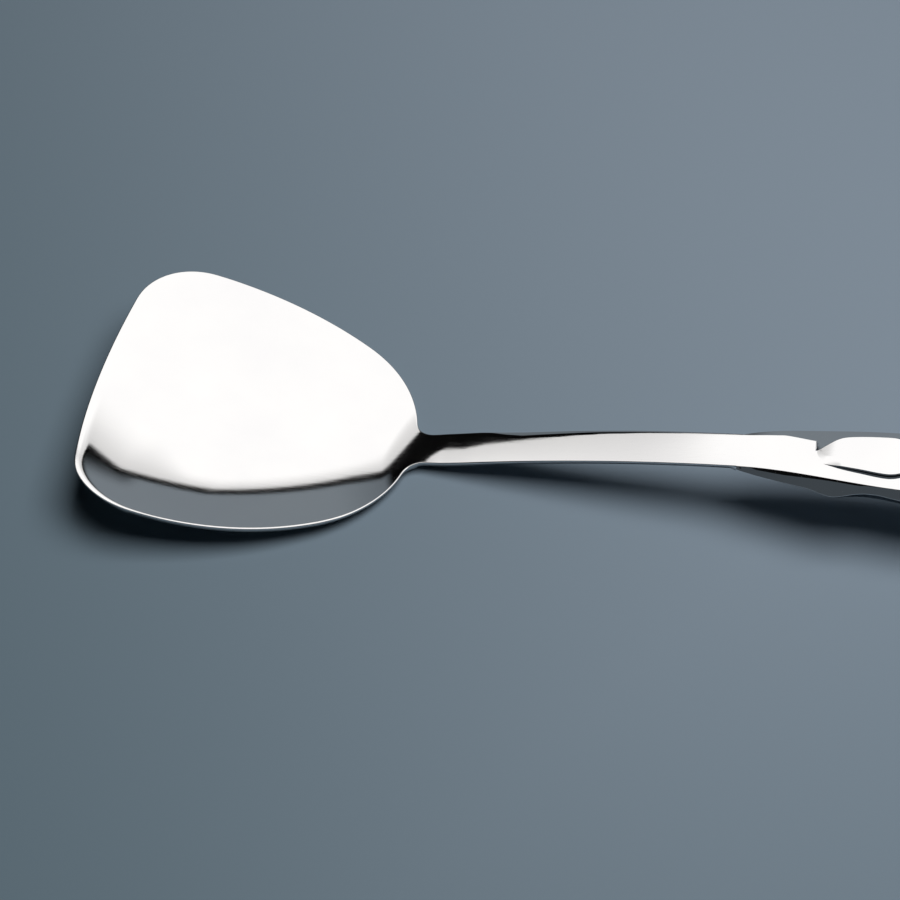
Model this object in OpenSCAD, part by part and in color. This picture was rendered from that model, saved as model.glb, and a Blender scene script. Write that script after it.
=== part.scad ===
// Wok spatula in polished stainless steel: a dished head, an arched shank and a hollow handle.
// Millimetres, +X from the head to the handle's end, +Z up, resting on the dish and the handle's end.

/* [Overall] */
// Length from the head's front edge to the handle's end
total_length = 380; // [360:1:400]
// Thickness of the blade's sheet
blade_sheet = 2; // [1.5:0.1:2.6]
// Thickness of the handle's pressed shells
shell_wall = 1.2; // [0.9:0.1:1.3]

/* [Head] */
// Widest width of the head
head_width = 107; // [98:1:116]
// Length of the head from its front edge to the heel
head_length = 94.7; // [88:0.1:102]
// Radius of the dish, taken at its upper face
dish_radius = 239; // [200:1:300]
// Distance from the front edge to the lowest point of the dish
dish_low = 77; // [66:1:84]
// Radius of the slightly bowed front edge
front_radius = 235; // [205:5:290]
// Radius of the two front corners
corner_radius = 21; // [17:0.5:24]
// Radius of the two long sides
side_radius = 95; // [88:1:110]
// Radius of the round heel beside the neck
heel_radius = 44; // [39:0.5:47]
// Radius of the fillet between heel and neck
neck_fillet = 6; // [4:0.5:8]

/* [Shank] */
// Width of the shank at the neck
shank_width_front = 12.6; // [11:0.1:14]
// Width of the shank where it meets the handle
shank_width_back = 14.4; // [13.4:0.1:15]
// Radius of the long arch of shank and handle
arch_radius = 620; // [580:5:680]
// Height of the arch above the table at the handle's end
end_height = 8.46; // [7.5:0.02:10]

/* [Handle] */
// Distance from the front edge to the front of the handle
handle_start = 190; // [184:1:194]
// Widest width of the handle
handle_width = 29.2; // [27:0.1:33]
// How far the handle's front stands out beside the shank
front_lip = 0.3; // [0.2:0.1:0.6]
// Length over which most of the handle's widening happens
flare_length = 19; // [16:0.5:22]
// Length over which the top plate widens
plate_length = 48; // [40:1:56]
// Extra half width of the finger stop on the near side
finger_stop = 2; // [0.8:0.1:2.4]
// Distance from the handle's front to the finger stop
stop_offset = 28; // [26:0.5:30]
// Half length of the finger stop
stop_length = 5; // [4:0.5:6]
// Depth of the finger hollow behind the stop
finger_hollow = 1.4; // [0.6:0.1:1.7]
// Distance from the handle's front to the middle of the hollow
hollow_offset = 39.5; // [38:0.5:42]
// Half length of the hollow
hollow_length = 7; // [6:0.5:8]
// How far each side draws in behind the arch's top
waist = 2.1; // [0:0.1:3]
// Length over which the sides draw in and out again
waist_length = 70; // [50:1:90]
// Sideways run of the sloping sides
side_run = 3.7; // [3.3:0.1:4.3]
// Drop of the sloping sides from the top plate to the seam
side_drop = 1.9; // [1.7:0.1:2.2]
// Thickness of the handle at the top of the arch
handle_depth = 10.2; // [9.4:0.1:11.5]
// Thickness of the handle at its front
front_depth = 6.4; // [6.2:0.1:7]
// Length over which the handle gets its thickness
depth_length = 46; // [40:1:54]
// Length of the rounded handle end
end_round = 14; // [11:0.5:17]
// Length of the landing ahead of the rounded end
foot_length = 10; // [8:0.5:12]
// Radius of the underside where the handle's end meets the table
foot_curve = 36; // [28:1:50]

/* [Tang] */
// Length of the tang inside the handle
tang_length = 18; // [15:0.5:19]
// Width of the tang
tang_width = 7.6; // [6.6:0.1:8]
// Radius of the two tang pins
pin_radius = 1.25; // [1:0.05:1.5]
// Distance from the handle's front to the first pin
pin_offset = 8.5; // [7.5:0.5:9.5]
// Distance between the pins
pin_pitch = 5.5; // [4.5:0.5:6]
// Depth of the pins in the saddle
pin_depth = 1.6; // [1.2:0.1:1.8]

/* [Thumb rest] */
// Distance from the handle's front to the middle of the thumb rest's narrow end
thumb_offset = 26; // [24.5:0.5:28]
// How far the thumb rest sits off the handle's middle line
thumb_shift = 0.7; // [0:0.1:1]
// Distance between the middles of its narrow and wide ends
thumb_length = 17; // [14:0.5:20]
// Radius of the narrow end
thumb_small = 4.2; // [3.4:0.1:4.6]
// Radius of the wide end
thumb_large = 7.2; // [6.4:0.1:7.8]
// Height of the thumb rest above the top plate
thumb_height = 1; // [0.7:0.1:1.6]
// Depth of the thumb rest's front tip below the top plate
thumb_dip = 0.4; // [0.2:0.1:0.8]
// Depth of its underside below the top plate
thumb_depth = 4.4; // [4:0.1:4.8]
// Width of the flange that holds it under the top plate
thumb_flange = 1.3; // [1:0.1:1.5]
// Thickness of the flange
flange_sheet = 1; // [0.8:0.1:1.2]
// Length of the notch beside the tip
notch_length = 7; // [5:0.5:8]
// Length of the notch at the middle of the plate
notch_tip = 4; // [3:0.5:5]
// Width of the plate left beside the notch
notch_margin = 1.6; // [1.4:0.1:2.2]

/* [Hanging hole] */
// Radius of the hanging hole
hang_radius = 4; // [3:0.1:4.6]
// Wall of the tube that lines it
hang_wall = 0.9; // [0.7:0.1:1.2]
// Distance from the handle's end to the middle of the hole
hang_offset = 16; // [15:0.5:20]
// Extra radius of the tube's rolled rim
hang_rim = 1.1; // [0.8:0.1:1.6]
// Height of the rim above the top plate
rim_height = 0.7; // [0.5:0.1:0.9]

/* [Vent] */
// Radius of the plug in the vent hole
vent_radius = 1.5; // [1.2:0.1:2]
// Distance from the handle's end to the vent hole
vent_offset = 40; // [34:1:60]
// How far the plug stands out of the underside
vent_proud = 0.1; // [0.05:0.05:0.3]

/* [Hidden] */
$fn = 96;
fit_gap = 0.02;
slot_gap = 0.1;
far = total_length;
steel = [0.78, 0.79, 0.80];
dark_steel = [0.55, 0.56, 0.58];
// half outline of the head: four tangent arcs, each turned by the angle of its outward normal
function turn(a) = [-cos(a), sin(a)];
function arc(c, r, a0, a1, n) = [for (i = [0:n]) c + r * turn(a0 + (a1 - a0) * i / n)];
side_turn = 89.5;
corner_turn = asin((head_width / 2 - side_radius - (corner_radius - side_radius) * sin(side_turn))
    / (front_radius - corner_radius));
front_c = [front_radius, 0];
corner_c = front_c + (front_radius - corner_radius) * turn(corner_turn);
side_c = corner_c + (corner_radius - side_radius) * turn(side_turn);
heel_turn = acos(-(head_length - heel_radius - side_c[0]) / (side_radius - heel_radius));
heel_c = side_c + (side_radius - heel_radius) * turn(heel_turn);
fillet_y = shank_width_front / 2 + neck_fillet;
neck_turn = 180 - asin((fillet_y - heel_c[1]) / (heel_radius + neck_fillet));
fillet_c = heel_c + (heel_radius + neck_fillet) * turn(neck_turn);
neck_u = fillet_c[0];
half_head = concat(
    arc(front_c, front_radius, 0, corner_turn, 12),
    arc(corner_c, corner_radius, corner_turn + 5, side_turn, 10),
    arc(side_c, side_radius, side_turn + 3, heel_turn, 12),
    arc(heel_c, heel_radius, heel_turn + 4, neck_turn, 10),
    [for (i = [1:6]) fillet_c + neck_fillet * turn(180 + neck_turn + (90 - neck_turn) * i / 6)]);
function flip(p) = [for (i = [len(p) - 1:-1:1]) [p[i][0], -p[i][1]]];
// side view of the sheet's upper face: the shank's arch crosses the dish just before the neck
dish_z = blade_sheet + dish_radius;
neck_lap = neck_fillet / 2;
cross_u = neck_u - neck_lap;
cross_z = dish_z - sqrt(pow(dish_radius, 2) - pow(cross_u - dish_low, 2));
chord = [total_length - cross_u, end_height - cross_z];
chord_drop = sqrt(pow(arch_radius, 2) - pow(norm(chord) / 2, 2));
arch_top = (cross_u + total_length) / 2 + chord_drop * chord[1] / norm(chord);
arch_z = (cross_z + end_height) / 2 - chord_drop * chord[0] / norm(chord);
shank_start = cross_u - neck_lap;
shank_side = [
    [shank_start, shank_width_front / 2 - 5 * fit_gap],
    [neck_u + neck_lap, shank_width_front / 2 - fit_gap],
    [handle_start, shank_width_back / 2]];
function top_z(u) = arch_z + sqrt(arch_radius * arch_radius - pow(u - arch_top, 2));
function tilt(u) = asin((u - arch_top) / arch_radius);
// sections of the handle
handle_end = total_length;
function ease(t) = t <= 0 ? 0 : t >= 1 ? 1 : t * t * (3 - 2 * t);
// share of the squared width that is left at the very end
end_blunt = 0.14;
function rounding(u) = u <= handle_end - end_round ? 1
    : sqrt(max(0, 1 - pow((u - handle_end + end_round) / end_round, 2)) * (1 - end_blunt) + end_blunt);
front_w = shank_width_back / 2 + front_lip;
plate_front = shank_width_back / 2 - front_lip;
function drawn_in(u) = waist * ease((u - arch_top) / waist_length) * ease((handle_end - u) / waist_length);
function swell(u, offset, length) = exp(-pow((u - handle_start - offset) / length, 2));
function far_w(u) = rounding(u) * (handle_width / 2 - drawn_in(u)
    - (handle_width / 2 - front_w) * exp((handle_start - u) / flare_length));
function near_w(u) = far_w(u) + finger_stop * swell(u, stop_offset, stop_length)
    - finger_hollow * swell(u, hollow_offset, hollow_length);
function plate_w(u) = rounding(u) * (plate_front - drawn_in(u)
    + (handle_width / 2 - side_run - plate_front) * ease((u - handle_start) / plate_length));
// point of the seam on the near side for s = -1 and on the far side for s = 1
function seam_y(u, s, inset) = s * ((s < 0 ? near_w(u) : far_w(u)) - inset);
function seam_z(u) = top_z(u) - side_drop;
// underside of the handle: it follows the arch, then curves up to the end and touches the table between
foot_u = handle_end - end_round - foot_length;
foot_slope = (foot_u - arch_top) / arch_radius;
foot_z = foot_slope * foot_slope * foot_curve / 2;
foot_depth = top_z(foot_u) - foot_z;
function depth(u) = u > foot_u
    ? top_z(u) - foot_z + foot_slope * (u - foot_u) - pow(u - foot_u, 2) / (2 * foot_curve)
    : front_depth + (handle_depth - front_depth) * ease((u - handle_start) / depth_length)
        + (foot_depth - handle_depth) * ease((u - arch_top) / (foot_u - arch_top));
front_steps = 14;
middle_steps = 12;
end_steps = 6;
front_span = 56;
middle_span = handle_end - end_round - handle_start - front_span;
along = [for (i = [0:front_steps]) handle_start + front_span * i / front_steps,
    for (i = [1:middle_steps]) handle_start + front_span + middle_span * i / middle_steps,
    for (i = [1:end_steps]) handle_end - end_round + end_round * sin(90 * i / end_steps)];
handle_length = handle_end - handle_start;
function inward(u) = handle_start + shell_wall
    + (u - handle_start) * (handle_length - 2 * shell_wall) / handle_length;
// the shells meet on a flat land along the seam
land = 2 * shell_wall;
corner_lap = shell_wall / 4;
function upper_outer(u) = [
    [u, seam_y(u, -1, 0), seam_z(u)],
    [u, -plate_w(u), top_z(u)],
    [u, plate_w(u), top_z(u)],
    [u, seam_y(u, 1, 0), seam_z(u)]];
function upper_inner(u) =
    let(t = top_z(u) - shell_wall, w = plate_w(u) - corner_lap) [
        [u, seam_y(u, -1, land), seam_z(u)],
        [u, max(-w, seam_y(u, -1, land)), t],
        [u, min(w, seam_y(u, 1, land)), t],
        [u, seam_y(u, 1, land), seam_z(u)]];
bowl_steps = 10;
bowl_fullness = 2.3;
function bowl(u, inset, d) = [for (j = [-bowl_steps:bowl_steps])
    let(s = j / bowl_steps) [u, seam_y(u, s, inset), seam_z(u) - d * (1 - pow(abs(s), bowl_fullness))]];
function lower_outer(u) = bowl(u, 0, depth(u) - side_drop);
function lower_inner(u) = bowl(u, land, depth(u) - side_drop - shell_wall);
function on_seam(row) = [for (p = row) [p[0], p[1], seam_z(p[0])]];
function closed_rows(rows) = concat([on_seam(rows[0])], rows, [on_seam(rows[len(rows) - 1])]);
function sheet_faces(n, m, at, up) = [for (i = [0:n - 2]) for (j = [0:m - 2])
    let(a = at + i * m + j, b = a + m, c = b + 1, d = a + 1)
    each up ? [[a, b, c], [a, c, d]] : [[a, c, b], [a, d, c]]];
function edge_loop(n, m, at) = concat([for (i = [0:n - 1]) at + i * m],
    [for (j = [1:m - 1]) at + (n - 1) * m + j],
    [for (i = [n - 2:-1:0]) at + i * m + m - 1],
    [for (j = [m - 2:-1:1]) at + j]);

// a shell or core between two surfaces that meet the seam along their edges
module pressed_shell(outer, inner, up) {
    n = len(outer);
    m = len(outer[0]);
    a = edge_loop(n, m, 0);
    b = edge_loop(n, m, n * m);
    k = len(a);
    rim = [for (i = [0:k - 1]) let(j = (i + 1) % k)
        each up ? [[a[i], b[j], a[j]], [a[i], b[i], b[j]]] : [[a[i], a[j], b[j]], [a[i], b[j], b[i]]]];
    polyhedron(
        points = [for (r = outer) each r, for (r = inner) each r],
        faces = concat(sheet_faces(n, m, 0, !up), sheet_faces(n, m, n * m, up), rim));
}

// a curved band of the arch between two depths below its upper face
module arch_band(high, low, from, to, width) {
    intersection() {
        translate([arch_top, 0, arch_z])
            rotate([90, 0, 0])
                difference() {
                    cylinder(h = width, r = arch_radius + high, center = true, $fn = 1440);
                    cylinder(h = 2 * width, r = arch_radius + low, center = true, $fn = 1440);
                }
        translate([from, -width, -far / 2])
            cube([to - from, 2 * width, far]);
    }
}

// draws a plan out far above and below the part
module upright() {
    translate([0, 0, -far / 2])
        linear_extrude(height = far)
            children();
}

// moves from the front edge's own distances to the middle of the length
module placed() {
    translate([-total_length / 2, 0, 0])
        children();
}

// turns upright shapes square to the arch at one distance
module on_arch(u) {
    translate([u, 0, top_z(u)])
        rotate([0, tilt(u), 0])
            children();
}

// plan of the thumb rest: two rounds joined by their common tangents
module thumb_plan(grow) {
    a = thumb_small + grow;
    b = thumb_large + grow;
    s = (b - a) / thumb_length;
    c = sqrt(1 - s * s);
    u0 = handle_start + thumb_offset;
    u1 = u0 + thumb_length;
    translate([0, thumb_shift]) {
        translate([u0, 0])
            circle(r = a);
        translate([u1, 0])
            circle(r = b);
        polygon([[u0 - a * s, a * c], [u1 - b * s, b * c], [u1 - b * s, -b * c], [u0 - a * s, -a * c]]);
    }
}

// slot in the shells' front walls for the tang
module tang_slot() {
    arch_band(-shell_wall - fit_gap / 2, -shell_wall - blade_sheet - 2 * slot_gap,
        handle_start - shell_wall, handle_start + 3 * shell_wall, tang_width + 2 * slot_gap);
}

// plan of the notch beside the thumb rest's tip
module thumb_notch(grow) {
    w = plate_w(thumb_tip + notch_tip) - notch_margin + grow;
    polygon([
        [thumb_tip - grow, 0],
        [thumb_tip - grow, w],
        [thumb_tip + notch_length + grow, w],
        [thumb_tip + notch_tip, 0]]);
}

// a core that fills the lower shell's hollow between the given sections
module bowl_core(rows) {
    n = len(rows);
    m = len(rows[0]);
    lid = [for (i = [0:n - 2]) let(a = i * m, b = a + m - 1, c = a + 2 * m - 1, d = a + m)
        each [[a, b, c], [a, c, d]]];
    polyhedron(
        points = [for (r = rows) each r],
        faces = concat(sheet_faces(n, m, 0, true), [for (t = lid) [t[0], t[2], t[1]]],
            [[for (j = [0:m - 1]) j], [for (j = [m - 1:-1:0]) (n - 1) * m + j]]));
}

hang_u = handle_end - hang_offset;
hang_length = depth(hang_u) + hang_radius;
vent_u = handle_end - vent_offset;
vent_floor = top_z(vent_u) - depth(vent_u);
thumb_tip = handle_start + thumb_offset - thumb_small;
thumb_ramp = 10;
// the saddle's flat top meets the tang's curved underside at both of its ends
saddle_front = inward(along[1]);
saddle_back = inward(along[4]);
saddle_u = (saddle_front + saddle_back) / 2;
saddle_top = shell_wall + blade_sheet + fit_gap + pow(saddle_back - saddle_front, 2) / (8 * arch_radius);
pin_reach = shell_wall + blade_sheet + pin_depth;
pin_us = [handle_start + pin_offset, handle_start + pin_offset + pin_pitch];
tang_lap = 2.5 * blade_sheet;
tang_end = handle_start + tang_length;

module blade() {
    color(steel)
        placed()
            difference() {
                union() {
                    intersection() {
                        translate([dish_low, 0, dish_z])
                            difference() {
                                sphere(r = dish_radius + blade_sheet, $fn = 400);
                                sphere(r = dish_radius, $fn = 400);
                            }
                        upright()
                            polygon(concat(half_head, flip(half_head)));
                    }
                    intersection() {
                        arch_band(0, -blade_sheet, shank_start, handle_start, 2 * shank_width_back);
                        upright()
                            polygon(concat(shank_side, flip(concat([[0, 0]], shank_side))));
                    }
                    arch_band(-shell_wall - fit_gap, -shell_wall - blade_sheet,
                        handle_start - tang_lap, tang_end, tang_width);
                }
                for (u = pin_us)
                    on_arch(u)
                        cylinder(h = 4 * pin_reach, r = pin_radius, center = true);
            }
}

module grip_top() {
    rows = closed_rows([for (u = along) upper_outer(u)]);
    hollow = closed_rows([for (u = along) upper_inner(inward(u))]);
    color(steel)
        placed()
            difference() {
                pressed_shell(rows, hollow, true);
                tang_slot();
                upright()
                    thumb_plan(fit_gap);
                upright()
                    thumb_notch(0);
                on_arch(hang_u)
                    cylinder(h = far, r = hang_radius + hang_wall, center = true);
            }
}

module grip_bottom() {
    rows = closed_rows([for (u = along) lower_outer(u)]);
    hollow = closed_rows([for (u = along) lower_inner(inward(u))]);
    color(steel)
        placed()
            difference() {
                pressed_shell(rows, hollow, false);
                tang_slot();
                on_arch(hang_u)
                    cylinder(h = far, r = hang_radius + hang_wall, center = true);
                translate([vent_u, 0, vent_floor - shell_wall])
                    cylinder(h = 4 * shell_wall, r = vent_radius);
            }
}

module thumb_rest() {
    color(steel)
        placed()
            difference() {
                union() {
                    intersection() {
                        upright()
                            thumb_plan(0);
                        arch_band(thumb_height, -thumb_depth, handle_start, hang_u, 2 * handle_width);
                    }
                    intersection() {
                        upright()
                            union() {
                                thumb_plan(thumb_flange);
                                thumb_notch(thumb_flange);
                            }
                        arch_band(-shell_wall - fit_gap, -shell_wall - flange_sheet,
                            handle_start, hang_u, 2 * handle_width);
                    }
                }
                translate([thumb_tip, 0, top_z(thumb_tip) - thumb_dip])
                    rotate([0, -thumb_ramp, 0])
                        translate([-far / 2, -far / 2, 0])
                            cube(far);
            }
}

module tang_saddle() {
    rows = [for (i = [1:4]) lower_inner(inward(along[i]))];
    color(dark_steel)
        placed()
            difference() {
                intersection() {
                    bowl_core(rows);
                    on_arch(saddle_u)
                        translate([-far / 2, -tang_width / 2, -far - saddle_top])
                            cube([far, tang_width, far]);
                }
                for (u = pin_us)
                    on_arch(u)
                        translate([0, 0, -pin_reach])
                            cylinder(h = 2 * pin_reach, r = pin_radius);
            }
}

module tang_pins() {
    color(dark_steel)
        placed()
            for (u = pin_us)
                on_arch(u)
                    translate([0, 0, -pin_reach])
                        cylinder(h = pin_reach - shell_wall - 2 * fit_gap, r = pin_radius);
}

module hang_tube() {
    color(steel)
        placed()
            on_arch(hang_u)
                difference() {
                    union() {
                        translate([0, 0, -hang_length])
                            cylinder(h = hang_length + rim_height, r = hang_radius + hang_wall);
                        translate([0, 0, fit_gap])
                            cylinder(h = rim_height - fit_gap, r = hang_radius + hang_wall + hang_rim);
                    }
                    cylinder(h = far, r = hang_radius, center = true);
                    rotate([0, -tilt(hang_u), 0])
                        translate([-far / 2, -far / 2, -top_z(hang_u) - far])
                            cube(far);
                }
}

module vent_plug() {
    color(dark_steel)
        placed()
            translate([vent_u, 0, vent_floor - vent_proud])
                cylinder(h = shell_wall, r = vent_radius);
}

blade();
grip_top();
grip_bottom();
thumb_rest();
tang_saddle();
tang_pins();
hang_tube();
vent_plug();
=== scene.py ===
import math
import bmesh
import bpy
from mathutils import Matrix, Vector


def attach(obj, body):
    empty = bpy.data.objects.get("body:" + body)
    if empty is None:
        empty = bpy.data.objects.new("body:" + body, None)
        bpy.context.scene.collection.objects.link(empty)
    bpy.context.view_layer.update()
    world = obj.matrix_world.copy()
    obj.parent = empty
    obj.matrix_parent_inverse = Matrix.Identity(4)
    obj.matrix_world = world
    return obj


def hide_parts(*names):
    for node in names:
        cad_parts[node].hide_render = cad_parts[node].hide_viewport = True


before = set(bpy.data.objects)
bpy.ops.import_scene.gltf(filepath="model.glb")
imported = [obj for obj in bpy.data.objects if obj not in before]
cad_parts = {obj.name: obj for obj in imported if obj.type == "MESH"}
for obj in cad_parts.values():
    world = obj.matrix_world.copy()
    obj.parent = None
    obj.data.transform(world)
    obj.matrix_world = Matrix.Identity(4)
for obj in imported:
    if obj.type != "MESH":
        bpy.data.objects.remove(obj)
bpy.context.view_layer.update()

MM = 0.001

# Sizes of the spatula in millimetres, along it from the head's front edge
total_length = 380.0
blade_sheet = 2.0
head_width = 107.0
head_length = 94.7
dish_radius = 239.0
dish_low = 77.0
front_radius = 235.0
corner_radius = 21.0
side_radius = 95.0
heel_radius = 44.0
neck_fillet = 6.0
side_turn = 89.5
shank_width_front = 12.6
shank_width_back = 14.4
arch_radius = 620.0
end_height = 8.46
handle_start = 190.0
handle_width = 29.2
front_lip = 0.3
flare_length = 19.0
plate_length = 48.0
finger_stop = 2.0
stop_offset = 28.0
stop_length = 5.0
finger_hollow = 1.4
hollow_offset = 39.5
hollow_length = 7.0
waist = 2.1
waist_length = 70.0
side_run = 3.7
side_drop = 1.9
front_drop = 0.8
drop_length = 28.0
handle_depth = 10.2
front_depth = 6.4
depth_length = 46.0
end_round = 14.0
end_blunt = 0.14
foot_length = 10.0
foot_curve = 36.0
bowl_fullness = 2.3
shell_wall = 1.2
tang_length = 18.0
tang_width = 7.6
hang_radius = 4.0
hang_wall = 0.9
hang_offset = 16.0
hang_rim = 1.1
rim_height = 0.7
vent_radius = 1.5
vent_offset = 40.0
fit_gap = 0.02


def ease(t):
    """Smooth step from 0 to 1."""
    t = min(1.0, max(0.0, t))
    return t * t * (3.0 - 2.0 * t)


def rise(x, start, length):
    """Smooth step from 0 at a start to 1 a length further on."""
    return ease((x - start) / length)


def soft_top(a, b, reach):
    """The higher of two surfaces, with a round fillet where they come within reach of each other."""
    near = max(reach - abs(a - b), 0.0) / reach
    return max(a, b) + near * near * reach / 4.0


def knots(t, table):
    """Value at t of a line through (t, value) knots."""
    for (t0, v0), (t1, v1) in zip(table, table[1:]):
        if t <= t1:
            return v0 + (v1 - v0) * (t - t0) / (t1 - t0)
    return table[-1][1]


def curve(x, table):
    """Smooth curve through (x, value) knots."""
    i = max(i for i in range(len(table) - 1) if i == 0 or table[i][0] <= x)
    (x0, v0), (x1, v1) = table[i], table[i + 1]
    xa, va = table[i - 1] if i else (2 * x0 - x1, 2 * v0 - v1)
    xb, vb = table[i + 2] if i + 2 < len(table) else (2 * x1 - x0, 2 * v1 - v0)
    m0 = (v1 - va) / (x1 - xa) * (x1 - x0)
    m1 = (vb - v0) / (xb - x0) * (x1 - x0)
    t = min(1.0, max(0.0, (x - x0) / (x1 - x0)))
    first = ((2 * t - 3) * t * t + 1) * v0 + ((t - 2) * t + 1) * t * m0
    return first + (3 - 2 * t) * t * t * v1 + (t - 1) * t * t * m1


def turn(degrees):
    """Direction in plan, turned from straight ahead towards the side."""
    a = math.radians(degrees)
    return Vector((-math.cos(a), math.sin(a)))


def at(u, y, z):
    """A point of the shared frame from distances along, across and above the table."""
    return Vector(((u - total_length / 2.0) * MM, y * MM, z * MM))


def along(p):
    """Distance along the spatula of a point of the shared frame."""
    return p.x / MM + total_length / 2


# Plan of the head: tangent arcs from the front edge's middle to the neck
corner_turn = math.degrees(math.asin(
    (head_width / 2 - side_radius - (corner_radius - side_radius) * math.sin(math.radians(side_turn)))
    / (front_radius - corner_radius)))
front_c = Vector((front_radius, 0.0))
corner_c = front_c + (front_radius - corner_radius) * turn(corner_turn)
side_c = corner_c + (corner_radius - side_radius) * turn(side_turn)
heel_turn = math.degrees(math.acos(
    -(head_length - heel_radius - side_c.x) / (side_radius - heel_radius)))
heel_c = side_c + (side_radius - heel_radius) * turn(heel_turn)
fillet_y = shank_width_front / 2 + neck_fillet
neck_turn = 180 - math.degrees(math.asin((fillet_y - heel_c.y) / (heel_radius + neck_fillet)))
fillet_c = heel_c + (heel_radius + neck_fillet) * turn(neck_turn)
neck_u = fillet_c.x
middle_turn = (corner_turn + side_turn) / 2

# Side view: the dish and the long arch that crosses it at the neck
dish_z = blade_sheet + dish_radius
cross_u = neck_u - neck_fillet / 2
cross_z = dish_z - math.sqrt(dish_radius ** 2 - (cross_u - dish_low) ** 2)
chord = Vector((total_length - cross_u, end_height - cross_z))
chord_drop = math.sqrt(arch_radius ** 2 - (chord.length / 2) ** 2)
arch_top = (cross_u + total_length) / 2 + chord_drop * chord.y / chord.length
arch_z = (cross_z + end_height) / 2 - chord_drop * chord.x / chord.length


def top_z(u):
    """Height of the long arch."""
    return arch_z + math.sqrt(arch_radius ** 2 - (u - arch_top) ** 2)


def tilt(u):
    """Angle at which the long arch falls."""
    return math.asin((u - arch_top) / arch_radius)


# Steel
def polished_steel(name, bright, dark, rough_low, rough_high, line_scale, bump):
    """Steel with faint clouding, fine polishing lines along the piece and small changes of gloss."""
    material = bpy.data.materials.new(name)
    material.use_nodes = True
    nodes = material.node_tree.nodes
    links = material.node_tree.links
    shader = nodes["Principled BSDF"]
    shader.inputs["Metallic"].default_value = 1.0
    place = nodes.new("ShaderNodeTexCoord")
    cloud = nodes.new("ShaderNodeTexNoise")
    cloud.inputs["Scale"].default_value = 38.0
    cloud.inputs["Detail"].default_value = 3.0
    links.new(place.outputs["Object"], cloud.inputs["Vector"])
    tint = nodes.new("ShaderNodeValToRGB")
    tint.color_ramp.elements[0].position = 0.3
    tint.color_ramp.elements[0].color = dark
    tint.color_ramp.elements[1].position = 0.7
    tint.color_ramp.elements[1].color = bright
    links.new(cloud.outputs["Fac"], tint.inputs["Fac"])
    links.new(tint.outputs["Color"], shader.inputs["Base Color"])
    stretch = nodes.new("ShaderNodeMapping")
    stretch.inputs["Scale"].default_value = line_scale
    links.new(place.outputs["Object"], stretch.inputs["Vector"])
    lines = nodes.new("ShaderNodeTexNoise")
    lines.inputs["Scale"].default_value = 1.0
    lines.inputs["Detail"].default_value = 4.0
    lines.inputs["Roughness"].default_value = 0.65
    links.new(stretch.outputs["Vector"], lines.inputs["Vector"])
    gloss = nodes.new("ShaderNodeMapRange")
    gloss.inputs["From Min"].default_value = 0.35
    gloss.inputs["From Max"].default_value = 0.7
    gloss.inputs["To Min"].default_value = rough_low
    gloss.inputs["To Max"].default_value = rough_high
    links.new(lines.outputs["Fac"], gloss.inputs["Value"])
    links.new(gloss.outputs["Result"], shader.inputs["Roughness"])
    relief = nodes.new("ShaderNodeBump")
    relief.inputs["Strength"].default_value = bump
    relief.inputs["Distance"].default_value = 0.00002
    links.new(lines.outputs["Fac"], relief.inputs["Height"])
    links.new(relief.outputs["Normal"], shader.inputs["Normal"])
    return material


mirror_steel = polished_steel(
    "mirror_steel", bright=(0.93, 0.93, 0.93, 1), dark=(0.89, 0.89, 0.9, 1),
    rough_low=0.03, rough_high=0.06, line_scale=(120, 1400, 1400), bump=0.12)
machined_steel = polished_steel(
    "machined_steel", bright=(0.62, 0.63, 0.65, 1), dark=(0.5, 0.51, 0.53, 1),
    rough_low=0.25, rough_high=0.4, line_scale=(2500, 300, 300), bump=0.5)

# Making a piece from a bmesh
sharp_angle = math.radians(32)
merge_distance = 0.001 * MM


def thick_sheet(bm, under):
    """Draws a grid's faces down to an under surface, as a closed sheet."""
    grown = bmesh.ops.extrude_face_region(bm, geom=bm.faces[:])["geom"]
    for v in grown:
        if isinstance(v, bmesh.types.BMVert):
            v.co = under(v.co)
    bmesh.ops.recalc_face_normals(bm, faces=bm.faces[:])


def steel_piece(name, bm, node):
    """Turns a finished bmesh into a mirror steel piece that stands for a CAD node."""
    bmesh.ops.dissolve_degenerate(bm, dist=merge_distance, edges=bm.edges[:])
    for face in bm.faces:
        face.smooth = True
    for edge in bm.edges:
        edge.smooth = len(edge.link_faces) != 2 or edge.calc_face_angle() < sharp_angle
    mesh = bpy.data.meshes.new(name)
    bm.to_mesh(mesh)
    bm.free()
    mesh.materials.append(mirror_steel)
    piece = bpy.data.objects.new(name, mesh)
    bpy.context.scene.collection.objects.link(piece)
    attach(piece, "root")
    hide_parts(node)


# Blade: the dished head, the neck and the shank in one sheet
corner_row, side_row, heel_row, fillet_row, blade_rows = 12, 72, 122, 134, 236
half_columns = 30
front_sweep = 60.0
heel_lag = 9.0
neck_blend = 2.1
thickest_sheet = 1.25 * blade_sheet
lip_front = 3.0
lip_side = 1.3
lip_slope = 0.22
lip_corner = 6.0
lip_corner_length = 24.0
lip_heel = 72.0
lip_heel_length = 20.0
lip_heel_loss = 0.9
crown = 0.15
crown_length = 12.0
crown_fade = ((0.0, 1.0), (120.0, 1.0), (137.0, 0.8), (156.0, 0.45), (165.0, 0.3), (handle_start, 0.0))
shank_lean = ((0.0, 0.0), (96.0, 0.0), (104.0, 4.1), (115.0, 4.1), (161.0, 1.5), (handle_start, 0.0))
far_roll = ((0.0, 0.0), (114.0, 0.0), (120.0, 1.6), (126.0, 2.5), (137.0, 1.9), (150.0, 1.2),
            (165.0, 0.7), (handle_start, 0.2))
far_roll_slope = 0.24
far_roll_round = 0.12
rim_insets = (0.0, 0.55, 1.0, 1.5, 2.0, 2.6, 3.3)
rim_rings = len(rim_insets) - 1
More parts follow.
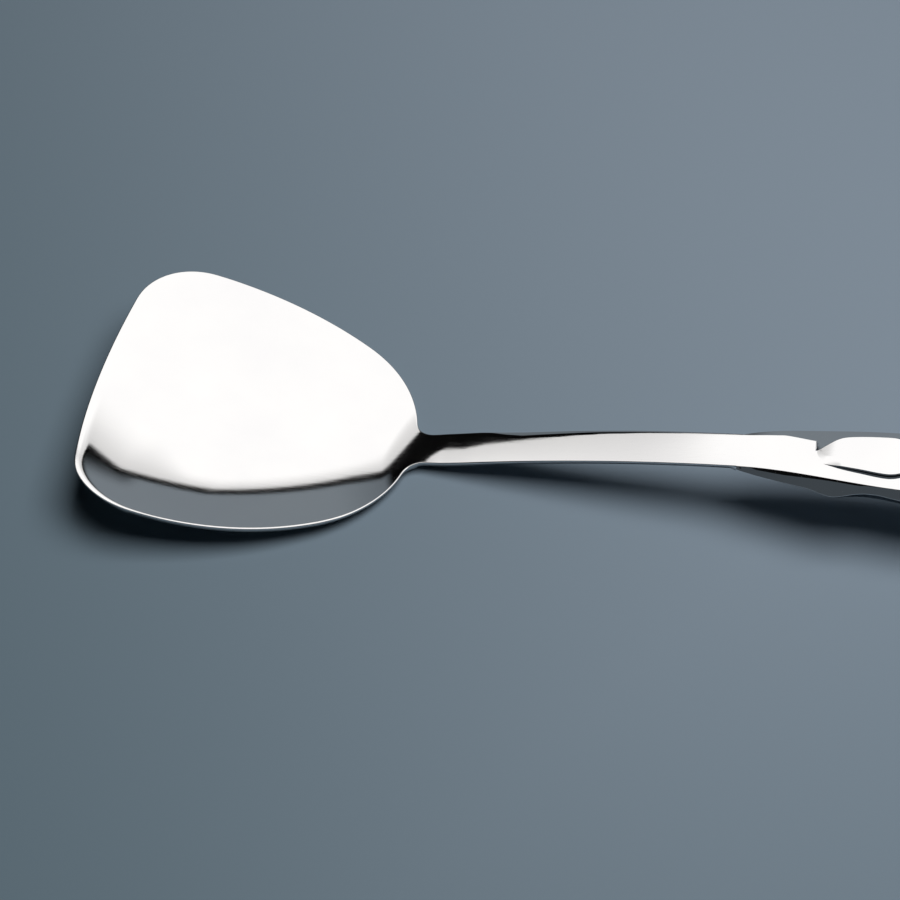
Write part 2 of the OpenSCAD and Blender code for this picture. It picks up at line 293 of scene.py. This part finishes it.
rim_lean = ((0.0, 1.1), (85.0, 1.1), (100.0, 0.9), (120.0, 1.2), (188.5, 1.2), (190.0, 0.2))
rim_angle = math.radians(50)
rim_round = 0.4
rim_segments = 4
rim_stop = 0.05
rim_arcs = (
    (front_c, front_radius, 0.0, corner_turn),
    (corner_c, corner_radius, corner_turn, side_turn),
    (side_c, side_radius, side_turn, heel_turn),
    (heel_c, heel_radius, heel_turn, neck_turn))
side_turns = ((0, middle_turn), (corner_row, side_turn), (side_row, heel_turn), (heel_row, neck_turn))
tang_rows, tang_columns = 24, 8
tang_lap = 2.5 * blade_sheet


def shank_half(u):
    """Half width of the shank."""
    return shank_width_front / 2 + (shank_width_back - shank_width_front) / 2 * max(
        0.0, (u - neck_u) / (handle_start - neck_u))


def blade_side(row, inset):
    """Point of the outline drawn in by an inset, from a front corner's middle to the shank's back end."""
    if row <= corner_row:
        return corner_c + (corner_radius - inset) * turn(knots(row, side_turns))
    if row <= side_row:
        return side_c + (side_radius - inset) * turn(knots(row, side_turns))
    if row <= heel_row:
        return heel_c + (heel_radius - inset) * turn(knots(row, side_turns))
    if row <= fillet_row:
        share = (row - heel_row) / (fillet_row - heel_row)
        return fillet_c + (neck_fillet + inset) * turn(180 + neck_turn + (90 - neck_turn) * share)
    u = neck_u + (handle_start - neck_u) * (row - fillet_row) / (blade_rows - fillet_row)
    return Vector((u, shank_half(u) - inset))


def blade_front(s, inset):
    """Point of the front edge between the middles of its corners, for s from -1 to 1."""
    reach = front_radius * math.radians(corner_turn)
    bend = corner_radius * math.radians(middle_turn - corner_turn)
    way = abs(s) * (reach + bend)
    if way <= reach:
        p = front_c + (front_radius - inset) * turn(math.degrees(way / front_radius))
    else:
        past = math.degrees((way - reach) / corner_radius)
        p = corner_c + (corner_radius - inset) * turn(corner_turn + past)
    return Vector((p.x, math.copysign(p.y, s)))


def blade_plan(i, j, lean):
    """Plan of the blade's grid: rings along the rim, and inside them rows and columns."""
    aside = half_columns - abs(j)
    ring = min(i, aside, rim_rings)
    inset = rim_insets[ring] + lean * (1.0 - rim_insets[ring] / rim_insets[-1])
    row = (i - ring) * blade_rows / (blade_rows - ring)
    s = j / (half_columns - ring)
    if i == ring:
        return blade_front(s, inset)
    edge = blade_side(row, inset)
    if aside == ring:
        return Vector((edge.x, math.copysign(edge.y, j)))
    corner = blade_side(0, inset)
    front = blade_front(s, inset)
    fade = 1.0 - rise(edge.x, corner.x, front_sweep)
    share = min(1.0, max(0.0, (row - side_row) / (fillet_row - side_row)))
    lag = heel_lag * math.sin(math.pi * share) ** 2 * (1.0 - s * s)
    return Vector((edge.x + (front.x - corner.x) * fade - lag,
                   s * edge.y + (front.y - s * corner.y) * fade))


def rim_gap(u, y):
    """Distance inward from the head's outline."""
    gaps = [lip_front]
    for centre, radius, low, high in rim_arcs:
        way = Vector((u, abs(y))) - centre
        if low <= math.degrees(math.atan2(way.y, -way.x)) <= high:
            gaps.append(radius - way.length)
    return max(0.0, min(gaps))


def blade_top(u, y):
    """Height of the blade's upper surface: the dish and, filleted into it, the shank on the long arch."""
    reach = min(u, cross_u)
    dish = dish_z - math.sqrt(dish_radius ** 2 - (reach - dish_low) ** 2 - y * y)
    dish += (u - reach) * (cross_u - dish_low) / dish_radius
    # the edge of the head rolls over
    lip = lip_side + (lip_front - lip_side) * (1.0 - rise(u, lip_corner, lip_corner_length))
    lip *= 1.0 - lip_heel_loss * rise(u, lip_heel, lip_heel_length)
    dish -= lip_slope * max(0.0, lip - rim_gap(u, y)) ** 2 / (2.0 * lip)
    # the shank is slightly crowned, leans to the near side and rolls over along its far edge
    half = shank_half(u)
    side = max(-half, min(half, y))
    s = side / half
    fall = crown * s * s * knots(u, crown_fade) * rise(u, cross_u, crown_length)
    roll = knots(u, far_roll)
    if roll > 0.0:
        fall += soft_top(0.0, far_roll_slope * (side - half + roll), far_roll_round)
    lean = math.radians(knots(u, shank_lean))
    return soft_top(dish, top_z(u) - fall + side * math.tan(lean), neck_blend)


def blade_under(u, y, top):
    """Height of the blade's lower surface."""
    if u < cross_u:
        sink = dish_radius + blade_sheet
        return max(dish_z - math.sqrt(sink ** 2 - (u - dish_low) ** 2 - y * y), top - thickest_sheet)
    return top - blade_sheet


def make_blade():
    bm = bmesh.new()
    bmesh.ops.create_grid(bm, x_segments=blade_rows, y_segments=2 * half_columns, size=1.0)
    under = {}
    for v in bm.verts:
        i = round((v.co.x + 1.0) / 2 * blade_rows)
        j = round(v.co.y * half_columns)
        u, y = blade_plan(i, j, 0.0)
        top = blade_top(u, y)
        v.co = at(u, y, top)
        u, y = blade_plan(i, j, knots(u, rim_lean))
        under[tuple(v.co)] = at(u, y, blade_under(u, y, top))
    thick_sheet(bm, lambda p: under[tuple(p)])
    back = at(handle_start - rim_stop, 0.0, 0.0).x
    rim = [e for e in bm.edges if len(e.link_faces) == 2 and e.calc_face_angle() > rim_angle
           and min(v.co.x for v in e.verts) < back]
    bmesh.ops.bevel(bm, geom=rim, offset=rim_round * MM, offset_type="OFFSET", affect="EDGES",
                    segments=rim_segments, profile=0.5, material=-1)
    # the tang that runs on into the handle
    tang = bmesh.ops.create_grid(bm, x_segments=tang_rows, y_segments=tang_columns, size=1.0)["verts"]
    faces = list({f for v in tang for f in v.link_faces})
    start = handle_start - tang_lap
    for v in tang:
        u = start + (handle_start + tang_length - start) * (v.co.x + 1.0) / 2
        v.co = at(u, v.co.y * tang_width / 2, top_z(u) - shell_wall - fit_gap)
    grown = bmesh.ops.extrude_face_region(bm, geom=faces)["geom"]
    for v in grown:
        if isinstance(v, bmesh.types.BMVert):
            v.co.z -= (blade_sheet - fit_gap) * MM
    bmesh.ops.recalc_face_normals(bm, faces=bm.faces[:])
    steel_piece("blade_sheet", bm, "blade")


# Handle: two pressed shells that meet along a seam
top_rows, top_columns = 380, 110
bottom_rows, bottom_columns = 260, 96
plate_setback = 0.35
front_half = shank_width_back / 2 + front_lip
plate_front = shank_width_back / 2 - plate_setback
far_swell = 1.1
far_swell_start = 203.0
far_swell_length = 40.0
far_swell_end = 250.0
far_swell_fade = 60.0
hollow_share = 0.6
hollow_lift = 0.55
near_lift = 0.9
near_lift_length = 26.0
seam_groove = 0.05
bowl_length = 18.0

# On the near side a narrow facet lies between the plate and the slope to the seam
facet_slope = 0.255
facet_width = ((190.0, 0.4), (196.0, 1.2), (202.0, 1.8), (206.0, 1.7), (215.0, 1.3), (226.0, 1.05))
facet_least = 0.3
side_slope = 0.65
break_round = 0.05

# On the far side the plate ends at a slope, then in the notch, then beside the thumb rest
far_tuck = 0.33
far_tuck_length = 8.0
ledge_front = 7.65
ledge_narrowing = 1.9
ledge_start = 199.0
ledge_length = 16.0
edge_step = 0.35
far_steepness = ((handle_start, 0.26), (195.0, 0.22), (200.0, 0.2), (205.0, 0.17), (211.0, 0.128),
                 (214.5, 0.128), (220.0, 0.16), (236.0, 0.18))
far_blend_start = 236.0
far_blend_length = 22.0
notch_u = 211.3
notch_step = 0.2
notch_dip = 0.3
dip_length = 2.4
dip_side = 3.0
dip_fade = 4.0

# Outline of the thumb rest on the near and the far side
pad_tip = 211.3
pad_end = 240.2
pad_widest = 234.0
pad_overlap = 0.3
pad_near = ((211.3, 1.6), (211.6, 0.0), (212.4, -1.6), (213.6, -2.9), (215.1, -3.7), (220.7, -4.75),
            (225.0, -5.4), (230.8, -6.25), (234.0, -6.2), (237.0, -4.9), (239.3, -2.4), (240.2, 0.8))
pad_far = ((211.3, 1.6), (211.9, 2.2), (213.1, 3.3), (215.1, 5.3), (217.0, 7.0), (219.0, 8.1),
           (223.3, 8.9), (230.0, 9.55), (234.0, 9.65), (237.2, 8.4), (239.3, 5.4), (240.2, 0.8))

# Spacing of the shells' rows and columns
end_share = 0.9
end_reach = 0.43
row_knots = (
    (0.0, handle_start), (46 / top_rows, 207.0),
    (76 / top_rows, notch_u - notch_step), (77 / top_rows, notch_u + notch_step),
    (106 / top_rows, notch_u + 2.5), (0.5, 244.0), (0.6, 335.0), (0.69, 345.0), (0.75, 356.0),
    (end_share, total_length - end_round * (1.0 - end_reach)))
plate_share = 0.62
plate_gather = 1.5
slope_gather = 1.35


def rounding(u):
    """How far the handle's rounded end narrows it."""
    t = (u - total_length + end_round) / end_round
    return 1.0 if t <= 0.0 else math.sqrt(max(0.0, 1.0 - t * t) * (1.0 - end_blunt) + end_blunt)


def drawn_in(u):
    """How far the waist draws each side in."""
    return waist * rise(u, arch_top, waist_length) * ease((total_length - u) / waist_length)


def swell(u, offset, length):
    """A bump along the handle."""
    return math.exp(-((u - handle_start - offset) / length) ** 2)


def seam_half(u, y):
    """Half width at the seam: the near side has a finger stop and a hollow behind it."""
    half = rounding(u) * (handle_width / 2 - drawn_in(u)
                          - (handle_width / 2 - front_half) * math.exp((handle_start - u) / flare_length))
    if y > 0.0:
        half += (far_swell * rise(u, far_swell_start, far_swell_length)
                 * (1.0 - rise(u, far_swell_end, far_swell_fade)))
    else:
        half += finger_stop * swell(u, stop_offset, stop_length)
        half -= hollow_share * finger_hollow * swell(u, hollow_offset, hollow_length)
    return half


def plate_half(u):
    """Half width of the flat top."""
    return rounding(u) * (plate_front - drawn_in(u) + (handle_width / 2 - side_run - plate_front)
                          * rise(u, handle_start, plate_length))


def drop(u, y):
    """Depth of the seam below the plate: it grows along the handle and shrinks in the finger hollow."""
    if y > 0.0:
        return front_drop + (side_drop - front_drop) * rise(u, handle_start, drop_length)
    return (side_drop - near_lift * (1.0 - rise(u, handle_start, near_lift_length))
            - hollow_lift * swell(u, hollow_offset, hollow_length))


def seam_z(u, y):
    """Height of the seam."""
    return top_z(u) - drop(u, y)


foot_u = total_length - end_round - foot_length
foot_slope = (foot_u - arch_top) / arch_radius
foot_z = foot_slope ** 2 * foot_curve / 2
foot_depth = top_z(foot_u) - foot_z


def depth(u):
    """Depth of the handle's underside below the long arch."""
    if u > foot_u:
        way = u - foot_u
        return top_z(u) - foot_z + foot_slope * way - way * way / (2 * foot_curve)
    return (front_depth + (handle_depth - front_depth) * rise(u, handle_start, depth_length)
            + (foot_depth - handle_depth) * rise(u, arch_top, foot_u - arch_top))


def along_handle(t):
    """Distance along the handle, with close rows at the notch, the hanging hole and the rounded end."""
    if t > end_share:
        start = math.asin(end_reach)
        angle = start + (math.pi / 2 - start) * (t - end_share) / (1.0 - end_share)
        return total_length - end_round + end_round * math.sin(angle)
    return knots(t, row_knots)


def spread(s, middle, side):
    """Distance across the handle for s from -1 to 1, with close columns where the plate ends."""
    way = abs(s)
    if way < plate_share:
        return math.copysign(middle * (1.0 - (1.0 - way / plate_share) ** plate_gather), s)
    past = (way - plate_share) / (1.0 - plate_share)
    return math.copysign(middle + (side - middle) * past ** slope_gather, s)


def near_side(u, y, seam):
    """Level plate, then a narrow facet, then the slope to the seam."""
    start = plate_half(u)
    low = drop(u, -y) - seam_groove
    facet = (side_slope * (seam - start) - low) / (side_slope - facet_slope)
    facet = min(knots(u, facet_width), max(facet_least, facet), (seam - start) / 2)
    facet_low = facet_slope * facet
    first = facet_slope * (y - start)
    second = facet_low + (low - facet_low) * (y - start - facet) / (seam - start - facet)
    return -soft_top(0.0, soft_top(first, second, break_round), break_round)


def far_edge(u):
    """Where the plate ends on the far side."""
    if u < notch_u:
        slope = plate_half(u) - far_tuck * (1.0 - rise(u, handle_start, far_tuck_length))
        return min(slope, ledge_front - ledge_narrowing * rise(u, ledge_start, ledge_length))
    under = curve(min(u, pad_widest), pad_far) - pad_overlap
    return under + (plate_half(u) - under) * rise(u, pad_widest, far_blend_length)


def grip_upper(u, y):
    """Height of the upper shell above or below the long arch."""
    seam = seam_half(u, y)
    if y <= 0.0:
        return near_side(u, -y, seam)
    low = drop(u, y) - seam_groove
    steep = knots(u, far_steepness)
    steep += (low / (seam - plate_half(u)) - steep) * rise(u, far_blend_start, far_blend_length)
    far_slope = min(0.0, -low + steep * (seam - y))
    if u > notch_u:
        # the notch's floor dips towards its corner
        dip = notch_dip * max(0.0, 1.0 - (u - notch_u) / dip_length) ** 2
        far_slope -= dip * (1.0 - rise(y, dip_side, dip_fade))
    return far_slope * rise(y, far_edge(u), edge_step)


# The bore of the hanging hole leans with the arch
hang_u = total_length - hang_offset
bore_point = at(hang_u, 0.0, top_z(hang_u))
bore_axis = Vector((math.sin(tilt(hang_u)), 0.0, math.cos(tilt(hang_u))))
vent_u = total_length - vent_offset
hole_reach = 1.5


def pierce(bm, point, axis, radius):
    """Opens a round hole in a sheet and draws its edge onto the circle."""
    def aside(co):
        way = co - point
        return way - axis * way.dot(axis)

    inside = [f for f in bm.faces if any(aside(v.co).length < radius * MM for v in f.verts)]
    bmesh.ops.delete(bm, geom=inside, context="FACES")
    for v in bm.verts:
        out = aside(v.co)
        if v.is_boundary and out.length < hole_reach * radius * MM:
            v.co += out * (radius * MM / out.length - 1.0)


def make_grip_top():
    bm = bmesh.new()
    bmesh.ops.create_grid(bm, x_segments=top_rows, y_segments=top_columns, size=1.0)
    for v in bm.verts:
        u = along_handle((v.co.x + 1.0) / 2)
        plate = far_edge(u) if v.co.y > 0.0 else plate_half(u)
        y = spread(v.co.y, plate, seam_half(u, v.co.y))
        v.co = at(u, y, top_z(u) + grip_upper(u, y))
    pierce(bm, bore_point, bore_axis, hang_radius + hang_wall)

    def inside(p):
        u = along(p)
        y = p.y / MM
        floor = seam_z(u, y)
        front_wall = u < handle_start + shell_wall and abs(y) > tang_width / 2
        end_wall = u > total_length - shell_wall
        z = floor if front_wall or end_wall else max(floor, p.z / MM - shell_wall)
        return Vector((p.x, p.y, z * MM))

    thick_sheet(bm, inside)
    steel_piece("grip_top_shell", bm, "grip_top")


def make_grip_bottom():
    bm = bmesh.new()
    bmesh.ops.create_grid(bm, x_segments=bottom_rows, y_segments=bottom_columns, size=1.0)
    for v in bm.verts:
        u = along_handle((v.co.x + 1.0) / 2)
        s = math.sin(v.co.y * math.pi / 2)
        fullness = bowl_fullness - (1.0 - rise(u, handle_start, bowl_length))
        hang = (depth(u) - drop(u, s) - seam_groove) * (1.0 - abs(s) ** fullness)
        v.co = at(u, s * seam_half(u, s), seam_z(u, s) - seam_groove - hang)
    pierce(bm, bore_point, bore_axis, hang_radius + hang_wall)
    pierce(bm, at(vent_u, 0.0, 0.0), Vector((0.0, 0.0, 1.0)), vent_radius)

    def inside(p):
        u = along(p)
        y = p.y / MM
        lid = seam_z(u, y)
        front_wall = u < handle_start + shell_wall
        end_wall = u > total_length - shell_wall
        if front_wall and abs(y) < tang_width / 2:
            lid -= blade_sheet
        z = lid if front_wall or end_wall else min(lid, p.z / MM + shell_wall)
        return Vector((p.x, p.y, z * MM))

    thick_sheet(bm, inside)
    steel_piece("grip_bottom_shell", bm, "grip_bottom")


# Thumb rest: ramps given as height, length and how slowly they start
pad_rows, pad_columns = 150, 80
tip_ramp = (0.3, 2.6, 1.3)
long_ramp = (0.65, 9.0, 1.6)
pad_foot = 211.5
pad_sink = 0.02
pad_depth = 1.0
pad_round = 0.3
pad_round_length = 4.0
near_wall = 212.5
near_wall_length = 7.5
near_ramp = 3.6
near_sink = 0.03


def ramp_height(way, height, reach, power):
    """Height of a ramp that levels out."""
    return height * (1.0 - math.exp(-(max(0.0, way) / reach) ** power))


def pad_top(u):
    """Height of the thumb rest above the plate: a short ramp at its tip, then a long one."""
    way = u - pad_foot
    return ramp_height(way, *tip_ramp) + ramp_height(way, *long_ramp) - pad_sink


def rounded_edge(way):
    """How far a rounded edge falls, at a distance inward from it."""
    return pad_round - math.sqrt(max(0.0, pad_round ** 2 - max(0.0, pad_round - way) ** 2))


def make_thumb_rest():
    bm = bmesh.new()
    bmesh.ops.create_grid(bm, x_segments=pad_rows, y_segments=pad_columns, size=1.0)
    middle = (pad_tip + pad_end) / 2
    for v in bm.verts:
        u = middle + (pad_end - pad_tip) / 2 * math.sin(v.co.x * math.pi / 2)
        near = curve(u, pad_near)
        far = curve(u, pad_far)
        s = math.sin(v.co.y * math.pi / 2)
        y = (near + far) / 2 + s * (far - near) / 2
        # ahead of the near wall the ramp grows softly out of the plate
        wall = rise(u, near_wall, near_wall_length)
        soft = rise(y, near, near_ramp)
        fall = max(rounded_edge(min(far - y, pad_end - u)), wall * rounded_edge(y - near))
        lift = pad_top(u) * (soft + (1.0 - soft) * wall) - near_sink * (1.0 - wall) * (1.0 - soft)
        v.co = at(u, y, top_z(u) + lift - fall * rise(u, pad_foot, pad_round_length))

    def base(p):
        return Vector((p.x, p.y, (top_z(along(p)) - pad_depth) * MM))

    bmesh.ops.remove_doubles(bm, verts=bm.verts[:], dist=merge_distance)
    thick_sheet(bm, base)
    steel_piece("thumb_rest_pad", bm, "thumb_rest")


# Hanging tube
tube_steps = 96
rim_roll = 0.5
quarter_turn = [math.radians(15 * k) for k in range(7)]


def make_hang_tube():
    """Tube with a rolled rim, spun round the bore and cut level with the table."""
    bm = bmesh.new()
    inner = hang_radius
    outer = hang_radius + hang_wall
    brim = outer + hang_rim
    reach = depth(hang_u) + hang_radius
    roll_z = rim_height - rim_roll
    profile = [(inner, -reach), (inner, roll_z)]
    profile += [(inner + rim_roll - rim_roll * math.cos(a), roll_z + rim_roll * math.sin(a))
                for a in quarter_turn[1:]]
    profile += [(brim - rim_roll + rim_roll * math.sin(a), roll_z + rim_roll * math.cos(a))
                for a in quarter_turn]
    profile += [(brim, fit_gap), (outer, fit_gap), (outer, -reach)]
    verts = [bm.verts.new((r * MM, 0.0, z * MM)) for r, z in profile]
    edges = [bm.edges.new((a, b)) for a, b in zip(verts, verts[1:] + verts[:1])]
    bmesh.ops.spin(bm, geom=verts + edges, cent=(0, 0, 0), axis=(0, 0, 1), angle=2 * math.pi,
                   steps=tube_steps, use_merge=True)
    bore = Matrix.Translation(bore_point) @ Matrix.Rotation(tilt(hang_u), 4, "Y")
    bmesh.ops.transform(bm, matrix=bore, verts=bm.verts[:])
    cut = bmesh.ops.bisect_plane(bm, geom=bm.verts[:] + bm.edges[:] + bm.faces[:], plane_co=(0, 0, 0),
                                 plane_no=(0, 0, 1), clear_inner=True)["geom_cut"]
    bmesh.ops.bridge_loops(bm, edges=[e for e in cut if isinstance(e, bmesh.types.BMEdge)])
    bmesh.ops.recalc_face_normals(bm, faces=bm.faces[:])
    steel_piece("hang_tube_sleeve", bm, "hang_tube")


make_blade()
make_grip_top()
make_grip_bottom()
make_thumb_rest()
make_hang_tube()
for node in ("tang_saddle", "tang_pins", "vent_plug"):
    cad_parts[node].data.materials.clear()
    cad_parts[node].data.materials.append(machined_steel)

# Studio: the floor's paper, in metres of the shared frame
floor_size = 6.0
# painted light: the floor's colour is darker to the left and towards the near right corner, painted in
# place of the lamp's fall-off
paper_painted_shade = (0.104, 0.149, 0.178, 1)
paper_painted_light = (0.2075, 0.2545, 0.3045, 1)
painted_light_slant = 0.55
painted_light_fade = (-0.38, 0.12)
corner_slant = -0.5
corner_fade = (0.02, 0.17)
corner_painted_shade = 0.6

# Colours of what the steel mirrors, and of the world for other rays
softbox_dim = (0.73, 0.72, 0.71, 1)
softbox_bright = (1.1, 1.085, 1.07, 1)
black_cloth = (0.002, 0.002, 0.002, 1)
wall_light = (0.185, 0.212, 0.235, 1)
wall_foot = (0.085, 0.092, 0.098, 1)
wall_left = (0.13, 0.15, 0.168, 1)
wall_far_left = (0.072, 0.076, 0.08, 1)
room_grey = (0.05, 0.06, 0.069, 1)
room_dark = (0.004, 0.004, 0.004, 1)
stray_light = (0.006, 0.0062, 0.0065, 1)
backdrop = (0.18, 0.222, 0.25, 1)

# Where these lie: edges as (slope, offset) on a level ceiling, slants, and fades as (start, end)
lowest_height = 0.02
far_left_edges = ((1.55, 1.88), (0.98, 1.7), (0.5, 1.82))
far_right_edge = (-1.65, 2.19)
near_edge_slant = 0.5
box_far_fade, box_near_fade = (0.0, 0.03), (0.36, 0.41)
frame_far_fade, frame_near_fade = (-0.1, -0.07), (0.2, 0.24)
glow_left_fade, glow_right_fade = (-0.48, -0.3), (0.0, 0.14)
glow_reach = (-0.37, 0.57)
left_slant, left_fade, left_height = 0.32, (-0.03, 0.03), (0.33, 0.36)
far_side_slant, far_side_fade = 0.45, (-0.04, 0.04)
right_fade, right_height = (0.1, 0.15), (0.4, 0.47)
wall_foot_height = (0.2, 0.32)
wall_left_slant, wall_left_fade = 0.24, (-0.04, 0.04)
wall_far_left_slant, wall_far_left_fade = 0.37, (-0.03, 0.03)
room_dark_bottom, room_dark_top, room_dark_edge = (0.5, 0.53), 0.7, (0.0, 0.03)
room_dark_slant, room_dark_fade = -0.6, (-0.03, 0.0)
room_fade = (0.0, 0.12)
ceiling_fade = (0.88, 0.92)

# Lamp and camera
lamp_width = 1.2
lamp_depth = 1.1
lamp_power = 21.4
lamp_place = (0.35, 0.06, 1.25)
camera_lens = 160.0
camera_sensor = 36.0
camera_azimuth = math.radians(11.2)
camera_elevation = math.radians(42.0)
camera_aim = Vector((-0.086, 0.0077, -0.0027))
camera_distance = 1.1765


def node_tools(tree):
    """Short ways to add sums, ramps and colour mixes to a node tree."""
    def put(socket, value):
        if isinstance(value, bpy.types.NodeSocket):
            tree.links.new(value, socket)
        else:
            socket.default_value = value

    def calc(operation, *values):
        node = tree.nodes.new("ShaderNodeMath")
        node.operation = operation
        for socket, value in zip(node.inputs, values):
            put(socket, value)
        return node.outputs["Value"]

    def ramp(value, low, high, start=0.0, end=1.0, kind="SMOOTHSTEP"):
        node = tree.nodes.new("ShaderNodeMapRange")
        node.interpolation_type = kind
        for name, number in (("From Min", low), ("From Max", high), ("To Min", start), ("To Max", end)):
            node.inputs[name].default_value = number
        put(node.inputs["Value"], value)
        return node.outputs["Result"]

    def mix(factor, a, b):
        node = tree.nodes.new("ShaderNodeMix")
        node.data_type = "RGBA"
        for name, value in (("Factor", factor), ("A", a), ("B", b)):
            put(node.inputs[name], value)
        return node.outputs["Result"]

    return calc, ramp, mix


def studio_floor():
    mesh = bpy.data.meshes.new("studio_floor")
    bm = bmesh.new()
    bmesh.ops.create_grid(bm, x_segments=1, y_segments=1, size=floor_size)
    bm.to_mesh(mesh)
    bm.free()
    floor = bpy.data.objects.new("studio_floor", mesh)
    bpy.context.scene.collection.objects.link(floor)
    paper = bpy.data.materials.new("studio_paper")
    paper.use_nodes = True
    tree = paper.node_tree
    calc, ramp, mix = node_tools(tree)
    place = tree.nodes.new("ShaderNodeTexCoord")
    parts = tree.nodes.new("ShaderNodeSeparateXYZ")
    tree.links.new(place.outputs["Object"], parts.inputs["Vector"])
    x, y = parts.outputs["X"], parts.outputs["Y"]
    # painted light: the colour darkens towards the left, in place of the lamp's fall-off across the floor
    tone = ramp(calc("MULTIPLY_ADD", y, painted_light_slant, x), *painted_light_fade)
    # painted shade: the colour also darkens towards the near right corner, where the lamp's light falls
    # off
    corner = ramp(calc("MULTIPLY_ADD", y, corner_slant, x), *corner_fade, 1.0, corner_painted_shade, "LINEAR")
    colour = mix(calc("MULTIPLY", tone, corner), paper_painted_shade, paper_painted_light)
    shader = tree.nodes["Principled BSDF"]
    tree.links.new(colour, shader.inputs["Base Color"])
    shader.inputs["Roughness"].default_value = 0.9
    shader.inputs["Specular IOR Level"].default_value = 0.1
    mesh.materials.append(paper)


def studio_world():
    world = bpy.data.worlds.new("studio")
    bpy.context.scene.world = world
    world.use_nodes = True
    nodes = world.node_tree.nodes
    links = world.node_tree.links
    nodes.clear()
    calc, ramp, mix = node_tools(world.node_tree)
    way = nodes.new("ShaderNodeTexCoord")
    parts = nodes.new("ShaderNodeSeparateXYZ")
    links.new(way.outputs["Generated"], parts.inputs["Vector"])
    x, y, z = (parts.outputs[k] for k in "XYZ")

    def slanted(slant, fade):
        return ramp(calc("MULTIPLY_ADD", y, slant, x), *fade)

    # the softbox: slanting far edges, a near edge short of the zenith, a black frame round it
    height = calc("MAXIMUM", z, lowest_height)
    aside = calc("DIVIDE", x, height)
    away = calc("DIVIDE", y, height)
    steep, middle, flat = (calc("MULTIPLY_ADD", aside, *edge) for edge in far_left_edges)
    far_left = calc("MINIMUM", flat, calc("MAXIMUM", steep, middle))
    far_right = calc("MULTIPLY_ADD", aside, *far_right_edge)
    from_far = calc("SUBTRACT", calc("MINIMUM", far_left, far_right), away)
    from_near = calc("MULTIPLY_ADD", aside, near_edge_slant, away)
    box = calc("MULTIPLY", ramp(from_far, *box_far_fade), ramp(from_near, *box_near_fade))
    black_frame = calc("MULTIPLY", ramp(from_far, *frame_far_fade), ramp(from_near, *frame_near_fade))
    # it brightens inward from its far edges, sooner in its middle
    centre = calc("MULTIPLY", ramp(aside, *glow_left_fade),
                  calc("SUBTRACT", 1.0, ramp(aside, *glow_right_fade)))
    inward = calc("DIVIDE", from_far, calc("MULTIPLY_ADD", centre, *glow_reach))
    glow = mix(ramp(inward, 0.0, 1.0), softbox_dim, softbox_bright)
    # beyond it a grey wall, with dark openings to the left and to the right
    left = calc("SUBTRACT", 1.0, slanted(left_slant, left_fade))
    left = calc("MULTIPLY", left, ramp(z, *left_height))
    far_side = calc("SUBTRACT", 1.0, slanted(far_side_slant, far_side_fade))
    right = calc("MULTIPLY", ramp(aside, *right_fade), ramp(z, *right_height))
    openings = calc("MAXIMUM", calc("MAXIMUM", left, far_side), right)
    wall = mix(ramp(z, *wall_foot_height), wall_foot, wall_light)
    wall = mix(slanted(wall_left_slant, wall_left_fade), wall_left, wall)
    wall = mix(slanted(wall_far_left_slant, wall_far_left_fade), wall_far_left, wall)
    wall = mix(openings, wall, black_cloth)
    # the room on this side: grey, and dark behind the camera
    behind = calc("MULTIPLY", ramp(z, *room_dark_bottom),
                  ramp(calc("SUBTRACT", room_dark_top, z), *room_dark_edge))
    behind = calc("MULTIPLY", behind, slanted(room_dark_slant, room_dark_fade))
    room = mix(behind, room_grey, room_dark)
    studio = mix(ramp(y, *room_fade), room, wall)
    studio = mix(ramp(z, *ceiling_fade), studio, room_grey)
    studio = mix(black_frame, studio, black_cloth)
    studio = mix(box, studio, glow)
    # the steel mirrors the studio, other rays see an even world
    rays = nodes.new("ShaderNodeLightPath")
    plain = mix(rays.outputs["Is Camera Ray"], stray_light, backdrop)
    colour = mix(rays.outputs["Is Glossy Ray"], plain, studio)
    sky = nodes.new("ShaderNodeBackground")
    links.new(colour, sky.inputs["Color"])
    out = nodes.new("ShaderNodeOutputWorld")
    links.new(sky.outputs["Background"], out.inputs["Surface"])


def key_lamp():
    data = bpy.data.lights.new("softbox", "AREA")
    data.shape = "RECTANGLE"
    data.size = lamp_width
    data.size_y = lamp_depth
    data.energy = lamp_power
    lamp = bpy.data.objects.new("softbox", data)
    bpy.context.scene.collection.objects.link(lamp)
    lamp.location = lamp_place
    lamp.rotation_euler = (-lamp.location).to_track_quat("-Z", "Y").to_euler()
    lamp.visible_glossy = False
    lamp.visible_camera = False


def photo_camera():
    data = bpy.data.cameras.new("photo_camera")
    data.lens = camera_lens
    data.sensor_width = camera_sensor
    camera = bpy.data.objects.new("photo_camera", data)
    bpy.context.scene.collection.objects.link(camera)
    back = Vector((math.sin(camera_azimuth) * math.cos(camera_elevation),
                   -math.cos(camera_azimuth) * math.cos(camera_elevation), math.sin(camera_elevation)))
    right = Vector((math.cos(camera_azimuth), math.sin(camera_azimuth), 0.0))
    turned = Matrix((right, back.cross(right), back)).transposed()
    camera.matrix_world = Matrix.Translation(camera_aim + back * camera_distance) @ turned.to_4x4()
    bpy.context.scene.camera = camera


studio_floor()
studio_world()
key_lamp()
photo_camera()
bpy.context.scene.view_settings.view_transform = "Standard"
